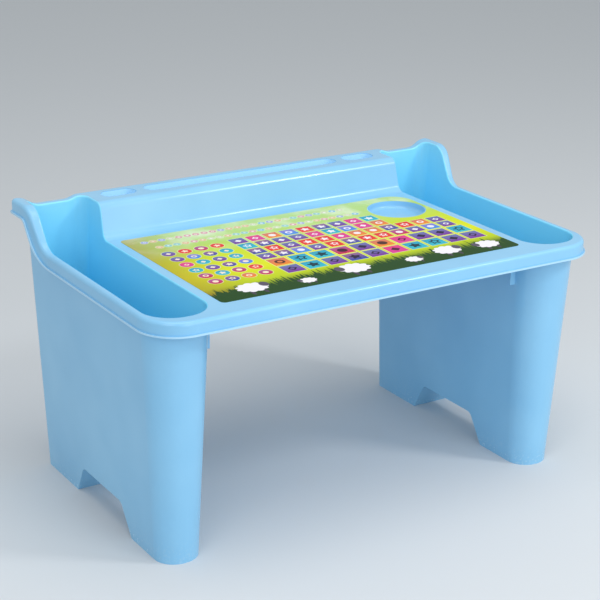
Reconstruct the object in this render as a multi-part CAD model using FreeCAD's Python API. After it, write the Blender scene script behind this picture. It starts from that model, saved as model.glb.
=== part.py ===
import FreeCAD
import Part
import math
import os

from FreeCAD import Vector

# A child's low desk: one injection moulding with two hollow legs that are open
# at the top as side pockets, a flat writing surface between them and a raised
# back ledge with pen trays, and a printed chart film stuck on the writing surface.
# Millimetres. X to the right, Y to the back, Z up, origin on the floor under
# the middle of the desk.

# Whole desk, over the bead of the rim; the width is that of the front.
width = 601.0
depth = 371.0
desk_height = 298.5
ledge_rise = 42.0
corner_rise = 5.5
wall = 2.5

# Rim: a rolled edge with a band that hangs outside the legs and ends in a bead.
rim_roll = 4.5
rim_band = 17.0
bead_out = 2.2
bead_height = 2.0
front_corner_radius = 46.0
back_corner_radius = 5.5

# The side rim climbs to the back corners in an ogee and flares out with it, and the back rim
# dips behind each pocket, between the raised corner and the end of the ledge.
corner_length = 94.5
ogee_radius = 26.0
ogee_angle = 60.0
flare = 6.5
flare_radius = 140.0
corner_flat = 0.5
dip_setback = 3.5
dip_depth = 4.0
dip_radius = 24.0

# Legs, outside faces: how far the rim stands out past them at the height of the
# writing surface, and how far each wall leans in from there to the floor.
leg_width = 78.5
rim_past_side = 8.5
rim_past_front = 17.5
rim_past_back = 12.5
outer_lean = 14.5
inner_lean = 11.0
front_lean = 19.0
back_lean = 3.0
leg_front_radius = 38.0
leg_back_radius = 14.0
mouth_lip = 2.0

# Arch that splits the bottom of each leg into two feet.
front_foot_length = 82.0
back_foot_length = 91.0
arch_height = 38.0
arch_lean = 22.0
arch_radius = 11.0

# Back ledge, measured from the back of the desk.
ledge_depth = 68.5
ledge_slope = 75.0
ledge_base_radius = 12.0
ledge_top_radius = 11.5

# Pen trays sunk in the ledge: a short one near each end and a long one in the middle.
tray_width = 24.0
tray_depth = 12.0
tray_floor_radius = 4.0
tray_end_margin = 18.5
tray_spacing = 12.0
short_tray_length = 46.0

# Printed chart film, by the margins that it leaves on the writing surface.
film_side_margin = 13.0
film_front_margin = 35.5
film_back_margin = 16.0
film_thickness = 0.3
film_corner_radius = 6.0
film_cup_corner_radius = 28.0

# Cup recess, with its distance from the film's right and back edges.
cup_diameter = 73.0
cup_depth = 9.0
cup_floor_radius = 4.0
cup_right_margin = 5.0
cup_back_margin = 17.0
cup_clearance = 1.2

# Ribs across the underside, each with a deep end against the legs.
rib_setback = 56.0
rib_count = 3
rib_pitch = 100.0
rib_depth = 13.0
rib_thickness = 2.6
rib_end_length = 8.0
rib_end_depth = 57.5

# Places that follow from these sizes.
ledge_height = desk_height + ledge_rise
corner_height = ledge_height + corner_rise
mouth_outer = width / 2 - rim_past_side
mouth_inner = mouth_outer - leg_width
mouth_front = rim_past_front - depth / 2
mouth_back = depth / 2 - rim_past_back
foot_front = mouth_front + front_lean
foot_back = mouth_back - back_lean
desk_edge = mouth_inner + wall
ledge_front = depth / 2 - ledge_depth
film_right = desk_edge - film_side_margin
film_front = film_front_margin - depth / 2
film_back = ledge_front - film_back_margin
cup_x = film_right - cup_right_margin - cup_diameter / 2
cup_y = film_back - cup_back_margin - cup_diameter / 2
short_tray_x = desk_edge - tray_end_margin - short_tray_length / 2
long_tray_length = 2 * (short_tray_x - short_tray_length / 2 - tray_spacing)
above_all = corner_height + 60.0
beyond_all = width + depth


def line(start, end):
    return Part.makeLine(start, end)


def arc(start, middle, end):
    return Part.Arc(start, middle, end).toShape()


def path(points):
    return [line(start, end) for start, end in zip(points[:-1], points[1:])]


def s_run(rise, radius):
    """Length over which two tangent arcs of this radius climb by rise."""
    return math.sqrt(rise * (4 * radius - rise))


def s_curve(start, along, aside, rise, radius):
    """Two equal tangent arcs from start, which run in the direction along and climb aside by rise."""
    run = s_run(rise, radius)
    bend = math.asin(run / 2 / radius) / 2
    half = along * (run / 2) + aside * (rise / 2)
    quarter = along * (radius * math.sin(bend)) + aside * (radius * (1 - math.cos(bend)))
    centre = start + half
    end = centre + half
    return [arc(start, start + quarter, centre), arc(centre, end - quarter, end)]


def end_of(edges):
    return edges[-1].Vertexes[-1].Point


def outline(x0, x1, y0, y1, radii, z):
    """Rounded rectangle; its radii run front left, front right, back right, back left."""
    corners = [(x0, y0, 1, 1), (x1, y0, -1, 1), (x1, y1, -1, -1), (x0, y1, 1, -1)]
    arcs = []
    for (x, y, sx, sy), radius in zip(corners, radii):
        cx = x + sx * radius
        cy = y + sy * radius
        reach = radius * math.sqrt(0.5)
        middle = Vector(cx - sx * reach, cy - sy * reach, z)
        on_side = Vector(x, cy, z)
        on_end = Vector(cx, y, z)
        arcs.append((on_side, middle, on_end) if sx == sy else (on_end, middle, on_side))
    edges = []
    for index, corner in enumerate(arcs):
        edges.append(arc(*corner))
        edges.append(line(corner[2], arcs[(index + 1) % 4][0]))
    return Part.Wire(edges)


def stadium(x, y, length, breadth, z):
    """Outline with straight sides along X and full round ends."""
    radius = breadth / 2
    left = x - length / 2 + radius
    right = x + length / 2 - radius
    left_end = Vector(left - radius, y, z)
    right_end = Vector(right + radius, y, z)
    front = [Vector(left, y - radius, z), Vector(right, y - radius, z)]
    back = [Vector(right, y + radius, z), Vector(left, y + radius, z)]
    return Part.Wire([
        line(front[0], front[1]),
        arc(front[1], right_end, back[0]),
        line(back[0], back[1]),
        arc(back[1], left_end, front[0]),
    ])


def prism(wire, direction):
    return Part.Face(wire).extrude(direction)


def along_x(edges, half_length):
    """Solid from a closed profile in Y and Z, to both sides of the middle."""
    solid = prism(Part.Wire(edges), Vector(2 * half_length, 0, 0))
    solid.translate(Vector(-half_length, 0, 0))
    return solid


def around_x(centre_y, centre_z, radius, angles):
    """Points in Y and Z on a circle, by the angle from straight down (or up, radius < 0)."""
    turns = [math.radians(angle) for angle in angles]
    return [Vector(0, centre_y + radius * math.sin(t), centre_z - radius * math.cos(t)) for t in turns]


def around_z(centre_x, centre_y, radius, angles):
    """Points in X and Y on a circle, by the angle from the right."""
    turns = [math.radians(angle) for angle in angles]
    return [Vector(centre_x + radius * math.cos(t), centre_y + radius * math.sin(t), 0) for t in turns]


def step_line(low_z, high_z, foot_arc, foot_radius, top_arc, top_radius, angle):
    """Front-to-back edges that run level, climb between two tangent arcs and run level again."""
    up = (0, angle / 2, angle)
    foot = around_x(foot_arc, low_z + foot_radius, foot_radius, up)
    brow = around_x(top_arc, high_z - top_radius, -top_radius, up[::-1])
    return [
        line(Vector(0, -beyond_all, low_z), foot[0]),
        arc(*foot),
        line(foot[2], brow[0]),
        arc(*brow),
        line(brow[2], Vector(0, beyond_all, high_z)),
    ]


def closed_at(edges, z):
    """The edges of a front-to-back line, closed by a level line at z."""
    start = edges[0].Vertexes[0].Point
    end = end_of(edges)
    return edges + path([end, Vector(0, end.y, z), Vector(0, start.y, z), start])


def under_rim_line(drop):
    """Everything below the side line of the rim, moved square into the material by drop."""
    turn = math.radians(ogee_angle)
    rise = ledge_rise + corner_rise
    straight = (rise - 2 * ogee_radius * (1 - math.cos(turn))) / math.sin(turn)
    start = depth / 2 - corner_length
    end = start + 2 * ogee_radius * math.sin(turn) + straight * math.cos(turn)
    edges = step_line(desk_height - drop, corner_height - drop, start, ogee_radius + drop,
                      end, ogee_radius - drop, ogee_angle)
    return along_x(closed_at(edges, 0), beyond_all)


def over_desk_line(drop, half_length):
    """Everything above writing surface and ledge, moved square into the material by drop."""
    half_slope = math.tan(math.radians(ledge_slope) / 2)
    foot_radius = ledge_base_radius + drop
    top_radius = ledge_top_radius - drop
    base = ledge_front + drop * half_slope
    brow = base + ledge_rise / math.tan(math.radians(ledge_slope))
    edges = step_line(desk_height - drop, ledge_height - drop, base - foot_radius * half_slope, foot_radius,
                      brow + top_radius * half_slope, top_radius, ledge_slope)
    return along_x(closed_at(edges, above_all), half_length)


def both_halves(edges):
    """Closed outline from its right half, which starts and ends in the middle."""
    return Part.Wire(Part.__sortEdges__(edges + [mirrored(edge) for edge in edges]))


def back_dip(drop):
    """Everything above the back rim between the raised corners, with its dip behind each pocket."""
    right = Vector(1, 0, 0)
    up = Vector(0, 0, 1)
    level = ledge_height - drop
    climb = corner_rise + dip_depth
    outer = width / 2 + flare - bead_out - back_corner_radius - corner_flat
    foot = Vector(outer - s_run(climb, dip_radius), 0, level - dip_depth)
    half = [line(Vector(0, 0, level), Vector(desk_edge + dip_setback, 0, level))]
    half += s_curve(end_of(half), right, -up, dip_depth, dip_radius)
    half += [line(end_of(half), foot)] + s_curve(foot, right, up, climb, dip_radius)
    half += path([end_of(half), Vector(outer, 0, above_all), Vector(0, 0, above_all)])
    return prism(both_halves(half), Vector(0, beyond_all, 0))


def rim_plan(inset):
    """Outline of the rim: large front corners, sides that flare out by the ogee, small back corners."""
    half_width = width / 2 - bead_out - inset
    half_depth = depth / 2 - bead_out - inset
    front = front_corner_radius - inset
    back = back_corner_radius - inset
    wide = half_width + flare
    swell = Vector(half_width, depth / 2 - corner_length, 0)
    front_turn = around_z(half_width - front, front - half_depth, front, (-90, -45, 0))
    back_turn = around_z(wide - back, half_depth - back, back, (0, 45, 90))
    half = [line(Vector(0, -half_depth, 0), front_turn[0]), arc(*front_turn), line(front_turn[2], swell)]
    half += s_curve(swell, Vector(0, 1, 0), Vector(1, 0, 0), flare, flare_radius)
    half += [line(end_of(half), back_turn[0]), arc(*back_turn), line(back_turn[2], Vector(0, half_depth, 0))]
    return both_halves(half)


def middle_of(edge):
    return edge.valueAt((edge.FirstParameter + edge.LastParameter) / 2)


def envelope(inset):
    """Outside of rim and top with its rolled edge, moved into the material by inset."""
    plan = rim_plan(inset)
    block = prism(plan, Vector(0, 0, above_all)).common(under_rim_line(inset)).cut(back_dip(inset))
    rolled = []
    for edge in block.Edges:
        middle = middle_of(edge)
        upright = max(edge.BoundBox.XLength, edge.BoundBox.YLength) < 0.1
        on_plan = plan.distToShape(Part.Vertex(middle.x, middle.y, 0))[0] < 0.01
        if on_plan and not upright and edge.BoundBox.ZMin > desk_height / 2:
            rolled.append(edge)
    return block.makeFillet(rim_roll - inset, rolled)


def leg_plan(z, inset):
    """Outline of the right leg at height z, its walls leaning in evenly towards the floor."""
    lean = 1 - z / desk_height
    inner = mouth_inner + inner_lean * lean + inset
    outer = mouth_outer - outer_lean * lean - inset
    front = mouth_front + front_lean * lean + inset
    back = mouth_back - back_lean * lean - inset
    share = (outer - inner) / leg_width
    front_radius = min(leg_front_radius * share, 0.49 * (outer - inner))
    back_radius = leg_back_radius * share
    return outline(inner, outer, front, back, (front_radius,) * 2 + (back_radius,) * 2, z)


def leg_body(bottom, inset):
    return Part.makeLoft([leg_plan(bottom, inset), leg_plan(above_all, inset)], True, True)


def arch(grow):
    """Arch across a leg, grown by the wall where the pocket floor runs over it."""
    lean = math.atan2(arch_lean, arch_height)
    height = arch_height + grow
    radius = arch_radius + grow
    corner = math.pi / 2 - lean
    reach = radius * math.tan(corner / 2)
    sag = radius * (1 / math.cos(corner / 2) - 1)
    sides = []
    for foot, sign in ((foot_front + front_foot_length, 1), (foot_back - back_foot_length, -1)):
        start = Vector(0, foot - sign * grow / math.cos(lean), 0)
        tip = start + Vector(0, sign * height * math.tan(lean), height)
        on_side = tip - Vector(0, sign * reach * math.sin(lean), reach * math.cos(lean))
        on_top = tip + Vector(0, sign * reach, 0)
        inward = Vector(0, sign * math.sin(corner / 2), -math.cos(corner / 2))
        sides.append((start, on_side, tip + inward * sag, on_top))
    front, back = sides
    edges = [line(front[0], front[1]), arc(*front[1:4]), line(front[3], back[3])]
    edges += [arc(*back[3:0:-1]), line(back[1], back[0]), line(back[0], front[0])]
    return along_x(edges, beyond_all)


def mirrored(shape):
    return shape.mirror(Vector(0, 0, 0), Vector(1, 0, 0))


def with_round_floor(block, radius):
    floor = block.BoundBox.ZMin + 0.01
    return block.makeFillet(radius, [edge for edge in block.Edges if edge.BoundBox.ZMax < floor])


def tray(x, length, grow):
    """A pen tray, or with grow the outside of its wall."""
    flat_front = ledge_front + ledge_rise / math.tan(math.radians(ledge_slope))
    flat_back = depth / 2 - bead_out
    y = (flat_front + ledge_top_radius + flat_back - rim_roll) / 2
    floor = ledge_height - tray_depth - grow
    plan = stadium(x, y, length + 2 * grow, tray_width + 2 * grow, floor)
    block = prism(plan, Vector(0, 0, corner_height - floor))
    return with_round_floor(block, tray_floor_radius + grow)


def cup(grow):
    """The cup recess, or with grow the outside of its wall."""
    floor = desk_height - cup_depth - grow
    block = Part.makeCylinder(cup_diameter / 2 + grow, corner_height - floor, Vector(cup_x, cup_y, floor))
    return with_round_floor(block, cup_floor_radius + grow)


def rib(y):
    """Rib across the underside, its ends running down against the inner walls of the legs."""
    root = desk_height - wall / 2
    shallow = desk_height - wall - rib_depth
    bottom = desk_height - rib_end_depth
    wall_there = mouth_inner + inner_lean * rib_end_depth / desk_height
    end = wall_there - rib_end_length
    inside_wall = mouth_inner + inner_lean
    half = [(end, shallow), (end, bottom), (inside_wall, bottom), (inside_wall, root)]
    points = [Vector(x, y, z) for x, z in half] + [Vector(-x, y, z) for x, z in half[::-1]]
    return prism(Part.makePolygon(points + points[:1]), Vector(0, rib_thickness, 0))


os.makedirs("parts", exist_ok=True)

outside = envelope(0)
inside = envelope(wall)
skin_middle = envelope(wall / 2)
over_desk = over_desk_line(0, desk_edge + mouth_lip)

# Rim and writing surface: the skin of the envelope, down to the foot of the band.
band_foot = under_rim_line(rim_band)
rim = outside.cut([inside, band_foot, over_desk])
bead_plans = [prism(rim_plan(inset), Vector(0, 0, above_all)) for inset in (-bead_out, wall)]
bead = bead_plans[0].cut(bead_plans[1]).common(under_rim_line(rim_band - bead_height)).cut(band_foot)

# Ledge: the same skin carried on over the ledge, between the legs.
ledge = over_desk_line(wall, desk_edge).cut(over_desk_line(0, beyond_all)).common(skin_middle)

# Legs, still solid, ending inside the skin of the rim.
right_leg = leg_body(0, 0).common(skin_middle).cut(over_desk)

# Walls of the sunk trays and cup, and the ribs.
trays = [(0, long_tray_length), (-short_tray_x, short_tray_length), (short_tray_x, short_tray_length)]
sunk_walls = [tray(x, length, wall) for x, length in trays] + [cup(wall)]
sunk_walls = [shell.common(skin_middle) for shell in sunk_walls]
ribs = [rib(rib_setback - depth / 2 + index * rib_pitch) for index in range(rib_count)]

# Hollows: trays, cup, arches, and the pockets in the legs with the arches standing in them.
pocket = leg_body(wall, wall)
pocket_air = pocket.cut(arch(wall))
hollows = [tray(x, length, 0) for x, length in trays]
hollows += [cup(0), arch(0), pocket_air, mirrored(pocket_air)]
body = rim
for piece in [bead, ledge, right_leg, mirrored(right_leg)] + sunk_walls + ribs:
    body = body.fuse(piece)
body = body.cut(hollows).removeSplitter()

# Rounded lip along the mouth of each pocket.
mouth_walls = [pocket.Shells[0], mirrored(pocket).Shells[0]]
top_skin = outside.cut(over_desk).Shells[0]
lip = []
for edge in body.Edges:
    middle = Part.Vertex(middle_of(edge))
    if middle.Z > desk_height - 0.1 and top_skin.distToShape(middle)[0] < 0.01:
        if min(shell.distToShape(middle)[0] for shell in mouth_walls) < 0.01:
            lip.append(edge)
desk_body = body.makeFillet(mouth_lip, lip)
desk_body.exportStep("parts/desk_body.step")

# Chart film, with its hole over the cup recess.
film_radii = (film_corner_radius, film_corner_radius, film_cup_corner_radius, film_corner_radius)
film = prism(outline(-film_right, film_right, film_front, film_back, film_radii, desk_height),
             Vector(0, 0, film_thickness))
film_hole = Part.makeCylinder(cup_diameter / 2 + cup_clearance, above_all, Vector(cup_x, cup_y, 0))
film.cut(film_hole).exportStep("parts/chart_sticker.step")
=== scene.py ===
import math

import bpy
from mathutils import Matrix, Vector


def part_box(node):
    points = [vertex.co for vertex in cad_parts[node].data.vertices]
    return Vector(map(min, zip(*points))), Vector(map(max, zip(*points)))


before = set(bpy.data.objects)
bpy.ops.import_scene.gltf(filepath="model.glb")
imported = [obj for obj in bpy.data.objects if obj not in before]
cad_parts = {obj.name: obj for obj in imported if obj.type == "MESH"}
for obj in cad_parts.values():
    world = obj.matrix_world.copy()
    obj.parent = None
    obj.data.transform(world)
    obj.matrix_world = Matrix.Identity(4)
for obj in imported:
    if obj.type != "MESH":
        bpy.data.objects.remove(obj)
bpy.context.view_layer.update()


# Desk body: one injection moulding of blue polypropylene, with rim, top, ledge and hollow legs
# made in a single shot. Nothing is fixed to it but the film, and it stands on its own four feet.
def linear(code):
    """The linear colour of an sRGB hex value."""
    shares = [int(code[at:at + 2], 16) / 255 for at in (1, 3, 5)]
    return tuple(c / 12.92 if c <= 0.04045 else ((c + 0.055) / 1.055) ** 2.4 for c in shares) + (1.0,)


def add(tree, kind, inputs=None, stops=(), **settings):
    """Adds a node with its settings, the values or links of its inputs, and the stops of a ramp.

    Inputs go by name or number. A range is mapped from 1 and 2 to 3 and 4. A mix has its share at 0
    and its numbers at 2 and 3, or its colours at 6 and 7 and the mixed colour at output 2.
    """
    made = tree.nodes.new("ShaderNode" + kind)
    for name, value in settings.items():
        setattr(made, name, value)
    for key, value in (inputs or {}).items():
        if isinstance(value, bpy.types.NodeSocket):
            tree.links.new(value, made.inputs[key])
        else:
            made.inputs[key].default_value = value
    for index, (share, code) in enumerate(stops):
        ramp = made.color_ramp.elements
        stop = ramp[index] if index < 2 else ramp.new(share)
        stop.position = share
        stop.color = linear(code)
    return made


# Polypropylene from a fine-blasted mould: a satin skin with a broad soft gloss, a little uneven in
# tone, slightly hollow between the edges of its flat walls, and rubbed paler round the feet.
polypropylene = bpy.data.materials.new("polypropylene_moulded_satin")
polypropylene.use_nodes = True
plastic = polypropylene.node_tree
skin = plastic.nodes["Principled BSDF"]
skin.inputs["IOR"].default_value = 1.49
skin.inputs["Specular IOR Level"].default_value = 0.45
where = add(plastic, "TexCoord").outputs["Object"]

# Flow of the melt: tone patches about 110 mm across. A noise's scale is its patches per metre, and
# its values lie mostly between 0.3 and 0.7.
metre = 1000.0
noise_low, noise_high = 0.3, 0.7
flow_patch = 110.0
flow = add(plastic, "TexNoise", {"Vector": where, "Scale": metre / flow_patch, "Detail": 2.0}).outputs[0]
blue = add(plastic, "ValToRGB", {0: flow},
           stops=[(noise_low, "#86C2E8"), (noise_high, "#91CBEE")]).outputs[0]


def past_box(point, middle, half, bend):
    """How far a point of the plan lies outside a box with rounded corners, in millimetres."""
    beside = add(plastic, "VectorMath", {0: point, 1: middle}, operation="SUBTRACT").outputs[0]
    beside = add(plastic, "VectorMath", {0: beside}, operation="ABSOLUTE").outputs[0]
    beside = add(plastic, "VectorMath", {0: beside, 1: half}, operation="SUBTRACT").outputs[0]
    corner = add(plastic, "CombineXYZ", {0: bend, 1: bend}).outputs[0]
    beside = add(plastic, "VectorMath", {0: beside, 1: corner}, operation="ADD").outputs[0]
    beside = add(plastic, "VectorMath", {0: beside, 1: (0.0, 0.0, 0.0)}, operation="MAXIMUM").outputs[0]
    beside = add(plastic, "VectorMath", {0: beside}, operation="LENGTH").outputs["Value"]
    return add(plastic, "Math", {0: beside, 1: bend}, operation="SUBTRACT").outputs[0]


# Place on the moulding, in millimetres. Left and right are alike, so the plan is that of the right.
millimetres = add(plastic, "VectorMath", {0: where, 1: (metre,) * 3}, operation="MULTIPLY").outputs[0]
across, back, height = add(plastic, "SeparateXYZ", {0: millimetres}).outputs
aside = add(plastic, "Math", {0: across}, operation="ABSOLUTE").outputs[0]
plan = add(plastic, "CombineXYZ", {0: aside, 1: back}).outputs[0]

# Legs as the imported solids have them: how far the rim stands out past them at the height of the
# writing surface, and how far each wall leans in from there to the floor.
half_width, half_depth = [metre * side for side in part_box("desk_body")[1][:2]]
desk_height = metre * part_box("chart_sticker")[0].z
flare_out = 6.5
wall = 2.5
leg_width = 78.5
rim_past_side, rim_past_front, rim_past_back = 8.5, 17.5, 12.5
outer_lean, inner_lean, front_lean, back_lean = 14.5, 11.0, 19.0, 3.0
leg_front_radius, leg_back_radius = 38.0, 14.0
leg_outer = half_width - flare_out - rim_past_side
leg_front = rim_past_front - half_depth
leg_back = half_depth - rim_past_back

# Pockets: painted glow. Their thin walls let light through from both sides, and the fuller blue that this
# gives inside them is painted into the colour. A box that narrows towards the floor with the middle of the
# walls tells the inside.
mouth_middle = (leg_outer - leg_width / 2, (leg_front + leg_back) / 2, 0.0)
mouth_half = ((leg_width - wall) / 2, (leg_back - leg_front - wall) / 2, 0.0)
middle_shift = ((inner_lean - outer_lean) / 2, (front_lean - back_lean) / 2, 0.0)
half_loss = (-(inner_lean + outer_lean) / 2, -(front_lean + back_lean) / 2, 0.0)
lean = add(plastic, "MapRange", {"Value": height, 1: desk_height, 2: 0.0}, clamp=False).outputs[0]
middle = add(plastic, "VectorMath", {0: lean, 1: middle_shift, 2: mouth_middle},
             operation="MULTIPLY_ADD").outputs[0]
half = add(plastic, "VectorMath", {0: lean, 1: half_loss, 2: mouth_half},
           operation="MULTIPLY_ADD").outputs[0]

# The radius of the front corners gives way to that of the back ones in the middle of the desk.
turnover = 1.0
bend = add(plastic, "MapRange", {"Value": back, 1: -turnover, 2: turnover, 3: leg_front_radius - wall / 2,
                                 4: leg_back_radius - wall / 2}).outputs[0]
outside = past_box(plan, middle, half, bend)
pocket_glow = add(plastic, "Math", {0: outside, 1: 0.0}, operation="LESS_THAN").outputs[0]

# The painted glow comes in above the arch between the feet, and its blue is deepest far down.
arch_low, arch_high = 45.0, 60.0
deep_low, deep_high = 120.0, 330.0
above_arch = add(plastic, "MapRange", {"Value": height, 1: arch_low, 2: arch_high}).outputs[0]
pocket_glow = add(plastic, "Math", {0: pocket_glow, 1: above_arch}, operation="MULTIPLY").outputs[0]
painted_glow_blue = add(plastic, "MapRange", {"Value": height, 1: deep_low, 2: deep_high}).outputs[0]
painted_glow_blue = add(plastic, "ValToRGB", {0: painted_glow_blue}, stops=[(0.0, "#5ADCFF"), (1.0, "#8CE0FF")]).outputs[0]
blue = add(plastic, "Mix", {0: pocket_glow, 6: blue, 7: painted_glow_blue}, data_type="RGBA").outputs[2]

# Pen trays: painted light. Near the middle line of the ledge and below the lip they are painted paler, to
# lift their shade and stand for the room they reflect.
tray_line, tray_reach = 159.3, 13.2
tray_level, tray_rise = 333.5, 6.3
ledge_reach = 200.0
tray_painted_light = add(plastic, "Math", {0: back, 1: tray_line, 2: tray_reach}, operation="COMPARE").outputs[0]
sunk = add(plastic, "Math", {0: height, 1: tray_level, 2: tray_rise}, operation="COMPARE").outputs[0]
inside = add(plastic, "Math", {0: aside, 1: ledge_reach}, operation="LESS_THAN").outputs[0]
tray_painted_light = add(plastic, "Math", {0: tray_painted_light, 1: sunk}, operation="MULTIPLY").outputs[0]
tray_painted_light = add(plastic, "Math", {0: tray_painted_light, 1: inside}, operation="MULTIPLY").outputs[0]
blue = add(plastic, "Mix", {0: tray_painted_light, 6: blue, 7: linear("#B4E2FF")}, data_type="RGBA").outputs[2]

# Bead of the rim: a painted highlight, a pale line along its edge. It is
# all that stands out past the band, whose sides flare out at the back.
bead_out = 2.2
bead_from, bead_full, bead_highlight_share = 0.6, 1.4, 0.85
flare_from, flare_full = 91.0, 151.0
rim_front_radius, rim_back_radius = 46.0, 5.5
band_half = (half_width - flare_out - bead_out, half_depth - bead_out, 0.0)
flare = add(plastic, "MapRange", {"Value": back, 1: flare_from, 2: flare_full, 3: 0.0, 4: flare_out},
            interpolation_type="SMOOTHSTEP").outputs[0]
unflared = add(plastic, "Math", {0: aside, 1: flare}, operation="SUBTRACT").outputs[0]
plan = add(plastic, "CombineXYZ", {0: unflared, 1: back}).outputs[0]
bend = add(plastic, "MapRange", {"Value": back, 1: -turnover, 2: turnover, 3: rim_front_radius - bead_out,
                                 4: rim_back_radius - bead_out}).outputs[0]
bead_highlight = past_box(plan, (0.0, 0.0, 0.0), band_half, bend)
bead_highlight = add(plastic, "MapRange", {"Value": bead_highlight, 1: bead_from, 2: bead_full, 3: 0.0, 4: bead_highlight_share}).outputs[0]
blue = add(plastic, "Mix", {0: bead_highlight, 6: blue, 7: linear("#B4DCF4")}, data_type="RGBA").outputs[2]

# Rub marks: streaks of about 3 mm that fade out 35 mm above the floor.
rub_height, rub_share = 35.0, 0.4
streak, streak_from, streak_full = 3.0, 0.52, 0.66
low = add(plastic, "MapRange", {"Value": height, 1: 0.0, 2: rub_height, 3: rub_share, 4: 0.0}).outputs[0]
streaks = add(plastic, "TexNoise", {"Vector": where, "Scale": metre / streak, "Detail": 3.0}).outputs[0]
rubbed = add(plastic, "MapRange", {"Value": streaks, 1: streak_from, 2: streak_full}).outputs[0]
rubbed = add(plastic, "Math", {0: rubbed, 1: low}, operation="MULTIPLY").outputs[0]
blue = add(plastic, "Mix", {0: rubbed, 6: blue, 7: linear("#A9CFE8")}, data_type="RGBA").outputs[2]
plastic.links.new(blue, skin.inputs["Base Color"])

# Gloss: a blasted skin, uneven over about 40 mm and duller where it is rubbed.
gloss_patch, smoothest, roughest, rub_dulling = 40.0, 0.17, 0.23, 0.25
satin = add(plastic, "TexNoise", {"Vector": where, "Scale": metre / gloss_patch, "Detail": 1.0}).outputs[0]
satin = add(plastic, "MapRange", {"Value": satin, 1: noise_low, 2: noise_high, 3: smoothest,
                                  4: roughest}).outputs[0]
satin = add(plastic, "Math", {0: rubbed, 1: rub_dulling, 2: satin}, operation="MULTIPLY_ADD").outputs[0]
plastic.links.new(satin, skin.inputs["Roughness"])

# Sink of the walls over about 70 mm, and the blasted grain, drawn at 1.2 mm so that it shows.
sink_patch, sink_depth = 70.0, 0.6
grain_pitch, grain_depth = 1.2, 0.03
sink = add(plastic, "TexNoise", {"Vector": where, "Scale": metre / sink_patch, "Detail": 0.0}).outputs[0]
sink = add(plastic, "Bump", {"Height": sink, "Strength": 0.5, "Distance": sink_depth / metre}).outputs[0]
grain = add(plastic, "TexNoise", {"Vector": where, "Scale": metre / grain_pitch, "Detail": 2.0}).outputs[0]
grain = add(plastic, "Bump", {"Height": grain, "Normal": sink, "Strength": 0.25,
                              "Distance": grain_depth / metre}).outputs[0]
plastic.links.new(grain, skin.inputs["Normal"])
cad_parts["desk_body"].material_slots[0].material = polypropylene


# Chart film: a printed sheet of soft plastic under a clear laminate, die-cut with rounded corners
# and a hole for the cup, and stuck flat on the writing surface by its own adhesive.
laminate = bpy.data.materials.new("printed_film_laminated_gloss")
laminate.use_nodes = True
film = laminate.node_tree
sheet = film.nodes["Principled BSDF"]
sheet.inputs["IOR"].default_value = 1.5
sheet.inputs["Specular IOR Level"].default_value = 0.03

# Place on the film in millimetres, so a noise's scale is its patches per millimetre here.
film_left, film_front = [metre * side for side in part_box("chart_sticker")[0][:2]]
film_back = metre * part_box("chart_sticker")[1].y
film_metres = add(film, "TexCoord").outputs["Object"]
place = add(film, "VectorMath", {0: film_metres, 1: (metre, metre, 0.0)}, operation="MULTIPLY").outputs[0]
film_across, film_depth, _ = add(film, "SeparateXYZ", {0: place}).outputs

# Ground of the print: dark grass at the front, lime and yellow in the middle, pale meadow behind.
rise = add(film, "MapRange", {"Value": film_depth, 1: film_front, 2: film_back}).outputs[0]
inks = add(film, "ValToRGB", {0: rise}, stops=[
    (0.0, "#24401A"), (1.0, "#B9D78C"), (0.1, "#4E6B1C"), (0.18, "#B9CC1C"), (0.35, "#DCE21A"),
    (0.6, "#C9DC2C"), (0.78, "#B4D668")]).outputs[0]

# Soft patches of light in the meadow, about 45 mm across.
glade_patch, glade_from, glade_full, glade_share = 45.0, 0.45, 0.7, 0.75
meadow_from, meadow_full = 0.6, 0.9
glade = add(film, "TexNoise", {"Vector": place, "Scale": 1 / glade_patch, "Detail": 3.0}).outputs[0]
glade = add(film, "MapRange", {"Value": glade, 1: glade_from, 2: glade_full, 3: 0.0,
                               4: glade_share}).outputs[0]
far = add(film, "MapRange", {"Value": rise, 1: meadow_from, 2: meadow_full}).outputs[0]
glade = add(film, "Math", {0: glade, 1: far}, operation="MULTIPLY").outputs[0]
inks = add(film, "Mix", {0: glade, 6: inks, 7: linear("#E6F0D2")}, data_type="RGBA").outputs[2]

# A warm olive vignette at the left edge, 70 mm wide.
warm_width, warm_share = 70.0, 0.6
warm = add(film, "MapRange", {"Value": film_across, 1: film_left, 2: film_left + warm_width,
                              3: warm_share, 4: 0.0}).outputs[0]
inks = add(film, "Mix", {0: warm, 6: inks, 7: linear("#A8841C")}, data_type="RGBA").outputs[2]

# Grass blades along the front, 2.5 mm wide and leaning, up to about 50 mm tall.
blade_width, blade_height, blade_lean = 2.5, 50.0, 0.2
dense_at, dense_share = -145.0, 0.9
thin_at, thin_share = -98.0, 0.2
blade_place = add(film, "Mapping", {0: place, 2: (0.0, 0.0, blade_lean),
                                    3: (1 / blade_width, 1 / blade_height, 1.0)}).outputs[0]
blades = add(film, "TexNoise", {"Vector": blade_place, "Scale": 1.0, "Detail": 1.0}).outputs[0]
grown = add(film, "MapRange", {"Value": film_depth, 1: dense_at, 2: thin_at, 3: dense_share,
                               4: thin_share}).outputs[0]
blades = add(film, "Math", {0: blades, 1: grown}, operation="LESS_THAN").outputs[0]
inks = add(film, "Mix", {0: blades, 6: inks, 7: linear("#24481A")}, data_type="RGBA").outputs[2]


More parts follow.
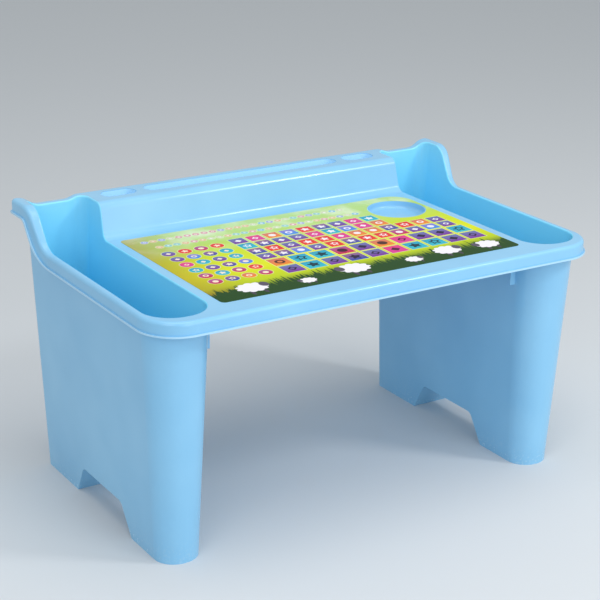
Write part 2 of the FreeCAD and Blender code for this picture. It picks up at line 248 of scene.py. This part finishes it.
def tile_rows(under, corner, pitch, count, half, mark, colours, mark_colour, seed, discs):
    """Prints a block of tiles or discs, each with a small mark, over the colour under it. Millimetres."""
    step = pitch + (1.0,)
    middle = (count[0] / 2, count[1] / 2, 0.0)
    grid = add(film, "VectorMath", {0: place, 1: corner + (0.0,)}, operation="SUBTRACT").outputs[0]
    grid = add(film, "VectorMath", {0: grid, 1: step}, operation="DIVIDE").outputs[0]
    cell = add(film, "VectorMath", {0: grid}, operation="FLOOR").outputs[0]
    inner = add(film, "VectorMath", {0: grid}, operation="FRACTION").outputs[0]
    inner = add(film, "VectorMath", {0: inner, 1: (0.5, 0.5, 0.0)}, operation="SUBTRACT").outputs[0]
    inner = add(film, "VectorMath", {0: inner, 1: step}, operation="MULTIPLY").outputs[0]
    aside = add(film, "VectorMath", {0: inner}, operation="ABSOLUTE").outputs[0]
    aside = add(film, "SeparateXYZ", {0: aside}).outputs
    offset = add(film, "SeparateXYZ", {0: inner}).outputs
    round_reach = add(film, "VectorMath", {0: inner}, operation="LENGTH").outputs["Value"]
    square_reach = add(film, "Math", {0: aside[0], 1: aside[1]}, operation="MAXIMUM").outputs[0]
    # Only the cells of this block are printed.
    beside = add(film, "VectorMath", {0: grid, 1: middle}, operation="SUBTRACT").outputs[0]
    beside = add(film, "VectorMath", {0: beside}, operation="ABSOLUTE").outputs[0]
    beside = add(film, "VectorMath", {0: beside, 1: middle}, operation="SUBTRACT").outputs[0]
    beside = add(film, "SeparateXYZ", {0: beside}).outputs
    beside = add(film, "Math", {0: beside[0], 1: beside[1]}, operation="MAXIMUM").outputs[0]
    block = add(film, "Math", {0: beside, 1: 0.0}, operation="LESS_THAN").outputs[0]
    # Each tile runs from one colour of the palette at its front towards another at its back.
    rear_share = 0.35
    seeded = add(film, "VectorMath", {0: cell, 1: (seed,) * 3}, operation="ADD").outputs[0]
    draw = add(film, "TexWhiteNoise", {"Vector": seeded}).outputs
    order = [0, len(colours) - 1] + list(range(1, len(colours) - 1))
    ends = []
    for palette in (colours, colours[2:] + colours[:2]):
        picked = [(index / len(colours), palette[index]) for index in order]
        ends.append(add(film, "ValToRGB", {0: draw["Value"]}, stops=picked))
        ends[-1].color_ramp.interpolation = "CONSTANT"
    fade = add(film, "MapRange", {"Value": offset[1], 1: -half, 2: half, 3: 0.0, 4: rear_share}).outputs[0]
    tile = add(film, "Mix", {0: fade, 6: ends[0].outputs[0], 7: ends[1].outputs[0]},
               data_type="RGBA").outputs[2]
    # The mark is a disc, a diamond or a five-pointed star, and some of them are hollow.
    star_points, star_dent, star_middle = 5.0, -0.3, 1.1
    disc_share, disc_or_diamond_share, full_share = 0.35, 0.68, 0.55
    hole_size, ink_share = 0.5, 0.9
    pick = add(film, "SeparateColor", {0: draw["Color"]}).outputs
    diamond = add(film, "Math", {0: aside[0], 1: aside[1]}, operation="ADD").outputs[0]
    turn = add(film, "Math", {0: offset[0], 1: offset[1]}, operation="ARCTAN2").outputs[0]
    turn = add(film, "Math", {0: turn, 1: star_points}, operation="MULTIPLY").outputs[0]
    turn = add(film, "Math", {0: turn}, operation="COSINE").outputs[0]
    turn = add(film, "Math", {0: turn, 1: star_dent, 2: star_middle}, operation="MULTIPLY_ADD").outputs[0]
    star = add(film, "Math", {0: round_reach, 1: turn}, operation="MULTIPLY").outputs[0]
    no_disc = add(film, "Math", {0: pick[0], 1: disc_share}, operation="GREATER_THAN").outputs[0]
    starred = add(film, "Math", {0: pick[0], 1: disc_or_diamond_share}, operation="GREATER_THAN").outputs[0]
    spread = add(film, "Mix", {0: no_disc, 2: round_reach, 3: diamond}).outputs[0]
    spread = add(film, "Mix", {0: starred, 2: spread, 3: star}).outputs[0]
    inked = add(film, "Math", {0: spread, 1: mark}, operation="LESS_THAN").outputs[0]
    hole = add(film, "Math", {0: spread, 1: mark * hole_size}, operation="LESS_THAN").outputs[0]
    hollow = add(film, "Math", {0: pick[1], 1: full_share}, operation="GREATER_THAN").outputs[0]
    hole = add(film, "Math", {0: hole, 1: hollow}, operation="MULTIPLY").outputs[0]
    inked = add(film, "Math", {0: inked, 1: hole}, operation="SUBTRACT").outputs[0]
    inked = add(film, "Math", {0: inked, 1: ink_share}, operation="MULTIPLY").outputs[0]
    tile = add(film, "Mix", {0: inked, 6: tile, 7: linear(mark_colour)}, data_type="RGBA").outputs[2]
    # A pale outline, 1 mm wide, round each tile.
    outline_width, outline_share = 1.0, 0.45
    shape = round_reach if discs else square_reach
    outer = add(film, "Math", {0: shape, 1: half + outline_width}, operation="LESS_THAN").outputs[0]
    outer = add(film, "Math", {0: outer, 1: block}, operation="MULTIPLY").outputs[0]
    outer = add(film, "Math", {0: outer, 1: outline_share}, operation="MULTIPLY").outputs[0]
    under = add(film, "Mix", {0: outer, 6: under, 7: linear("#EFF2D8")}, data_type="RGBA").outputs[2]
    body = add(film, "Math", {0: shape, 1: half}, operation="LESS_THAN").outputs[0]
    body = add(film, "Math", {0: body, 1: block}, operation="MULTIPLY").outputs[0]
    return add(film, "Mix", {0: body, 6: under, 7: tile}, data_type="RGBA").outputs[2]


# Two strings of counting beads in pastels, small tiles in the middle and in front of the cup, large
# tiles in front of them, and round tokens at the left. Each kind has its pitch, half its size, the
# reach of its mark, its palette, the mark's colour and whether it is round.
pastels = ["#7FB6D8", "#D99AA8", "#8FCFC0", "#E3B48A", "#A9A6D6", "#CFE0B0"]
brights = ["#C81E4A", "#F08A1E", "#2E8FE0", "#7A2E9A", "#D8429A", "#38B8C8", "#E8402A", "#1E4AA8"]
bead_string = ((11.5, 20.0), 4.6, 1.8, pastels, "#F4F6EC", True)
small_tile = ((23.5, 22.0), 9.6, 4.6, brights, "#F6F1F4", False)
large_tile = ((28.5, 27.5), 12.0, 6.4, brights, "#1C1420", False)
token = ((21.5, 22.5), 8.2, 3.6, brights, "#FBE9D0", True)
for kind, corner, count, seed in ((bead_string, (-186.0, 70.0), (25, 1), 3.0),
                                  (bead_string, (-178.0, 46.0), (25, 1), 11.0),
                                  (small_tile, (-92.0, -46.0), (9, 4), 5.0),
                                  (small_tile, (119.5, -46.0), (3, 2), 14.0),
                                  (large_tile, (-92.0, -102.0), (10, 2), 8.0),
                                  (token, (-186.0, -96.0), (4, 6), 21.0)):
    pitch, half_size, mark, palette, mark_colour, discs = kind
    inks = tile_rows(inks, corner, pitch, count, half_size, mark, palette, mark_colour, seed, discs)


def spot_of(under, x, y, width, height, colour, scallops):
    """Prints an oval over the colour under it, with a scalloped edge if it has scallops. Millimetres."""
    dent = 0.16
    inner = add(film, "VectorMath", {0: place, 1: (x, y, 0.0)}, operation="SUBTRACT").outputs[0]
    inner = add(film, "VectorMath", {0: inner, 1: (2 / width, 2 / height, 0.0)},
                operation="MULTIPLY").outputs[0]
    reach = add(film, "VectorMath", {0: inner}, operation="LENGTH").outputs["Value"]
    offset = add(film, "SeparateXYZ", {0: inner}).outputs
    turn = add(film, "Math", {0: offset[0], 1: offset[1]}, operation="ARCTAN2").outputs[0]
    turn = add(film, "Math", {0: turn, 1: scallops / 2}, operation="MULTIPLY").outputs[0]
    edge = add(film, "Math", {0: turn}, operation="COSINE").outputs[0]
    edge = add(film, "Math", {0: edge}, operation="ABSOLUTE").outputs[0]
    edge = add(film, "Math", {0: edge, 1: dent, 2: 1 - dent}, operation="MULTIPLY_ADD").outputs[0]
    shown = add(film, "Math", {0: reach, 1: edge}, operation="LESS_THAN").outputs[0]
    return add(film, "Mix", {0: shown, 6: under, 7: linear(colour)}, data_type="RGBA").outputs[2]


# Sheep in the grass: two short legs, a scalloped white fleece, and a grey head that looks to one side.
# An oval's place, width and height are shares of the fleece's width.
sheep = ((-0.2, -0.4, 0.12, 0.34, "#4A4450", 0), (0.2, -0.4, 0.12, 0.34, "#4A4450", 0),
         (0.0, 0.0, 1.0, 0.74, "#F1EEF4", 11), (0.42, 0.1, 0.28, 0.36, "#5A5262", 0))
for x, y, size, side in ((-150.0, -122.0, 40.0, 1), (-84.0, -132.0, 22.0, -1), (-16.0, -122.0, 42.0, -1),
                         (62.0, -130.0, 24.0, 1), (116.0, -121.0, 38.0, 1), (171.0, -126.0, 34.0, -1)):
    for along, up, wide, tall, colour, scallops in sheep:
        inks = spot_of(inks, x + side * along * size, y + up * size, wide * size, tall * size,
                       colour, scallops)
film.links.new(inks, sheet.inputs["Base Color"])

# The laminate: a smooth gloss that waves a little over about 60 mm, as a sheet pressed on by hand does.
wave_length, wave_height = 60.0, 0.5
film_smoothest, film_roughest = 0.2, 0.28
wave = add(film, "TexNoise", {"Vector": place, "Scale": 1 / wave_length, "Detail": 1.0}).outputs[0]
gloss = add(film, "MapRange", {"Value": wave, 1: noise_low, 2: noise_high, 3: film_smoothest,
                               4: film_roughest}).outputs[0]
film.links.new(gloss, sheet.inputs["Roughness"])
wave = add(film, "Bump", {"Height": wave, "Strength": 0.4, "Distance": wave_height / metre}).outputs[0]
film.links.new(wave, sheet.inputs["Normal"])
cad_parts["chart_sticker"].material_slots[0].material = laminate


# Floor: a plain pale studio floor of matt paper under the desk, so wide that its far edge is only
# the horizon.
floor_width = 40.0
bpy.ops.object.select_all(action="DESELECT")
bpy.ops.mesh.primitive_plane_add(size=floor_width)
floor = bpy.context.object
floor.name = "floor"
paper = bpy.data.materials.new("matt_studio_floor")
paper.use_nodes = True
paper_skin = paper.node_tree.nodes["Principled BSDF"].inputs
paper_skin["Base Color"].default_value = linear("#D6DADD")
paper_skin["Roughness"].default_value = 0.9
paper_skin["Specular IOR Level"].default_value = 0.1
floor.data.materials.append(paper)


# Light: a pale room, large soft boxes above, at the left and in front, and a small one at the right,
# all aimed at the middle of the desk.
world = bpy.data.worlds.new("pale_room")
bpy.context.scene.world = world
world.use_nodes = True
room = world.node_tree.nodes["Background"].inputs
room["Color"].default_value = linear("#EDF1F4")
room["Strength"].default_value = 0.62
desk_middle = Vector((0.0, 0.0, 0.2))
for name, stand, box_width, watts in (("soft_box_top", (-0.2, -0.5, 2.3), 1.8, 18.0),
                                      ("soft_box_left", (-2.1, -1.8, 1.5), 1.4, 13.0),
                                      ("soft_box_front", (0.4, -2.5, 0.95), 1.6, 16.0),
                                      ("soft_box_right", (1.31, -1.47, 1.78), 0.4, 14.0)):
    lamp = bpy.data.lights.new(name, "AREA")
    lamp.size = box_width
    lamp.energy = watts
    soft_box = bpy.data.objects.new(name, lamp)
    bpy.context.collection.objects.link(soft_box)
    soft_box.location = stand
    soft_box.rotation_euler = (desk_middle - soft_box.location).to_track_quat("-Z", "Y").to_euler()

# Camera: the photograph's place and angle, a long lens from the front left and a little above.
view = bpy.data.cameras.new("camera")
view.lens = 96.54
view.sensor_width = 36.0
camera = bpy.data.objects.new("camera", view)
bpy.context.collection.objects.link(camera)
camera.location = (-0.988, -1.558, 0.879)
camera.rotation_euler = [math.radians(angle) for angle in (70.318, -0.612, -31.850)]
bpy.context.scene.camera = camera
bpy.context.scene.view_settings.view_transform = "Standard"
